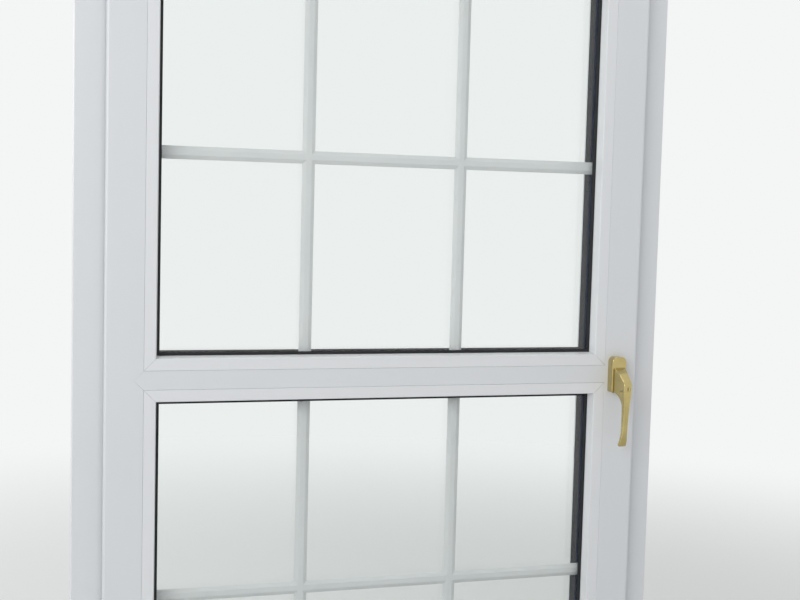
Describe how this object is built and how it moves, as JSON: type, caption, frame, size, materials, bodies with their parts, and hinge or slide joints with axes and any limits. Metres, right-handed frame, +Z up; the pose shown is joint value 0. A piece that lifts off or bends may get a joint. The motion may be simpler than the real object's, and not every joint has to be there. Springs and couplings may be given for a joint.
{
  "type": "tilt and turn window",
  "caption": "White plastic tilt and turn window in its fixed frame: one inward-opening sash with a mid rail, bar-divided sealed glazing and a brass lever handle.",
  "frame": {"origin": "middle of the frame's bottom face, at mid depth", "axes": "+X to the right as seen from the room, +Y to the outside, +Z up"},
  "size_m": [0.866, 0.1406, 1.392],
  "materials": {
    "white_upvc": "welded and cleaned extrusion, semi-gloss",
    "white_bead": "extruded clip-in bead, semi-gloss",
    "white_cap": "injection moulded, semi-gloss",
    "black_seal": "extruded black seal, matte",
    "clear_glass": "float glass",
    "spacer_metal": "roll-formed spacer, dull",
    "sealant": "poured sealant",
    "white_bar": "stoved white on a roll-formed bar",
    "packer_plastic": "moulded packer",
    "galvanised_steel": "galvanised, dull",
    "zinc_casting": "zinc die casting, passivated",
    "brass": "polished and lacquered",
    "nylon": "moulded nylon",
    "white_powder": "powder coated bracket"
  },
  "bodies": {
    "frame": {"outer_frame": "white_upvc", "frame_steel": "galvanised_steel", "frame_gasket": "black_seal", "drain_caps": "white_cap", "lock_keeps": "zinc_casting", "tilt_keep": "zinc_casting", "runup_block": "nylon", "pivot_bearing": "white_powder", "stay_bearing": "white_powder", "stay_pin": "galvanised_steel", "bracket_covers": "white_cap", "bracket_screws": "galvanised_steel"},
    "pivot": {"pivot_block": "white_powder", "tilt_pin": "galvanised_steel"},
    "stay": {"stay_arm": "galvanised_steel"},
    "sash": {"sash_frame": "white_upvc", "sash_steel": "galvanised_steel", "sash_gasket": "black_seal", "glazing_packers": "packer_plastic", "corner_hinge": "white_powder", "lock_faceplate": "galvanised_steel", "top_faceplate": "galvanised_steel", "bottom_faceplate": "galvanised_steel", "hardware_screws": "galvanised_steel", "gearbox_case": "zinc_casting", "corner_drives": "zinc_casting", "handle_base": "zinc_casting", "handle_cover": "brass", "upper_inner_pane": "clear_glass", "upper_outer_pane": "clear_glass", "upper_spacer": "spacer_metal", "upper_edge_seal": "sealant", "upper_georgian_bars": "white_bar", "upper_bead_gasket": "black_seal", "upper_outside_gasket": "black_seal", "upper_bead_bottom": "white_bead", "upper_bead_left": "white_bead", "upper_bead_top": "white_bead", "upper_bead_right": "white_bead", "lower_inner_pane": "clear_glass", "lower_outer_pane": "clear_glass", "lower_spacer": "spacer_metal", "lower_edge_seal": "sealant", "lower_georgian_bars": "white_bar", "lower_bead_gasket": "black_seal", "lower_outside_gasket": "black_seal", "lower_bead_bottom": "white_bead", "lower_bead_left": "white_bead", "lower_bead_top": "white_bead", "lower_bead_right": "white_bead"},
    "handle": {"handle_lever": "brass", "spindle": "galvanised_steel", "drive_pinion": "zinc_casting"},
    "key": {"key_barrel": "zinc_casting"},
    "lock_slider": {"lock_bar": "galvanised_steel", "lock_cams": "galvanised_steel"},
    "top_slider": {"top_bar": "galvanised_steel", "top_cam": "galvanised_steel"},
    "bottom_slider": {"bottom_bar": "galvanised_steel", "bottom_cams": "galvanised_steel"}
  },
  "joints": [
    {"name": "sash_turn", "type": "hinge", "parent": "frame", "child": "pivot", "pos_m": [-0.408, -0.045, 0.036], "axis": [0, 0, -1], "range_deg": [0, 90]},
    {"name": "sash_tilt", "type": "hinge", "parent": "pivot", "child": "sash", "pos_m": [-0.398, -0.045, 0.036], "axis": [1, 0, 0], "range_deg": [0, 6]},
    {"name": "stay_swing", "type": "hinge", "parent": "pivot", "child": "stay", "pos_m": [-0.408, -0.045, 1.338], "axis": [0, 0, -1], "range_deg": [0, 21]},
    {"name": "handle_turn", "type": "hinge", "parent": "sash", "child": "handle", "pos_m": [0.358, -0.0265, 0.696], "axis": [0, 1, 0], "range_deg": [0, 180]},
    {"name": "key_turn", "type": "hinge", "parent": "handle", "child": "key", "pos_m": [0.358, -0.095, 0.6785], "axis": [0, 1, 0], "range_deg": [0, 90]},
    {"name": "lock_slide", "type": "slide", "parent": "sash", "child": "lock_slider", "axis": [0, 0, -1], "range_m": [0, 0.03001]},
    {"name": "top_slide", "type": "slide", "parent": "sash", "child": "top_slider", "axis": [1, 0, 0], "range_m": [0, 0.03001]},
    {"name": "bottom_slide", "type": "slide", "parent": "sash", "child": "bottom_slider", "axis": [-1, 0, 0], "range_m": [0, 0.03001]}
  ],
  "couplings": [
    {"joint": "stay_swing", "follows": "sash_tilt", "ratio": 3.44},
    {"joint": "lock_slide", "follows": "handle_turn", "m_per_rad": 0.0095493},
    {"joint": "top_slide", "follows": "handle_turn", "m_per_rad": 0.0095493},
    {"joint": "bottom_slide", "follows": "handle_turn", "m_per_rad": 0.0095493}
  ]
}
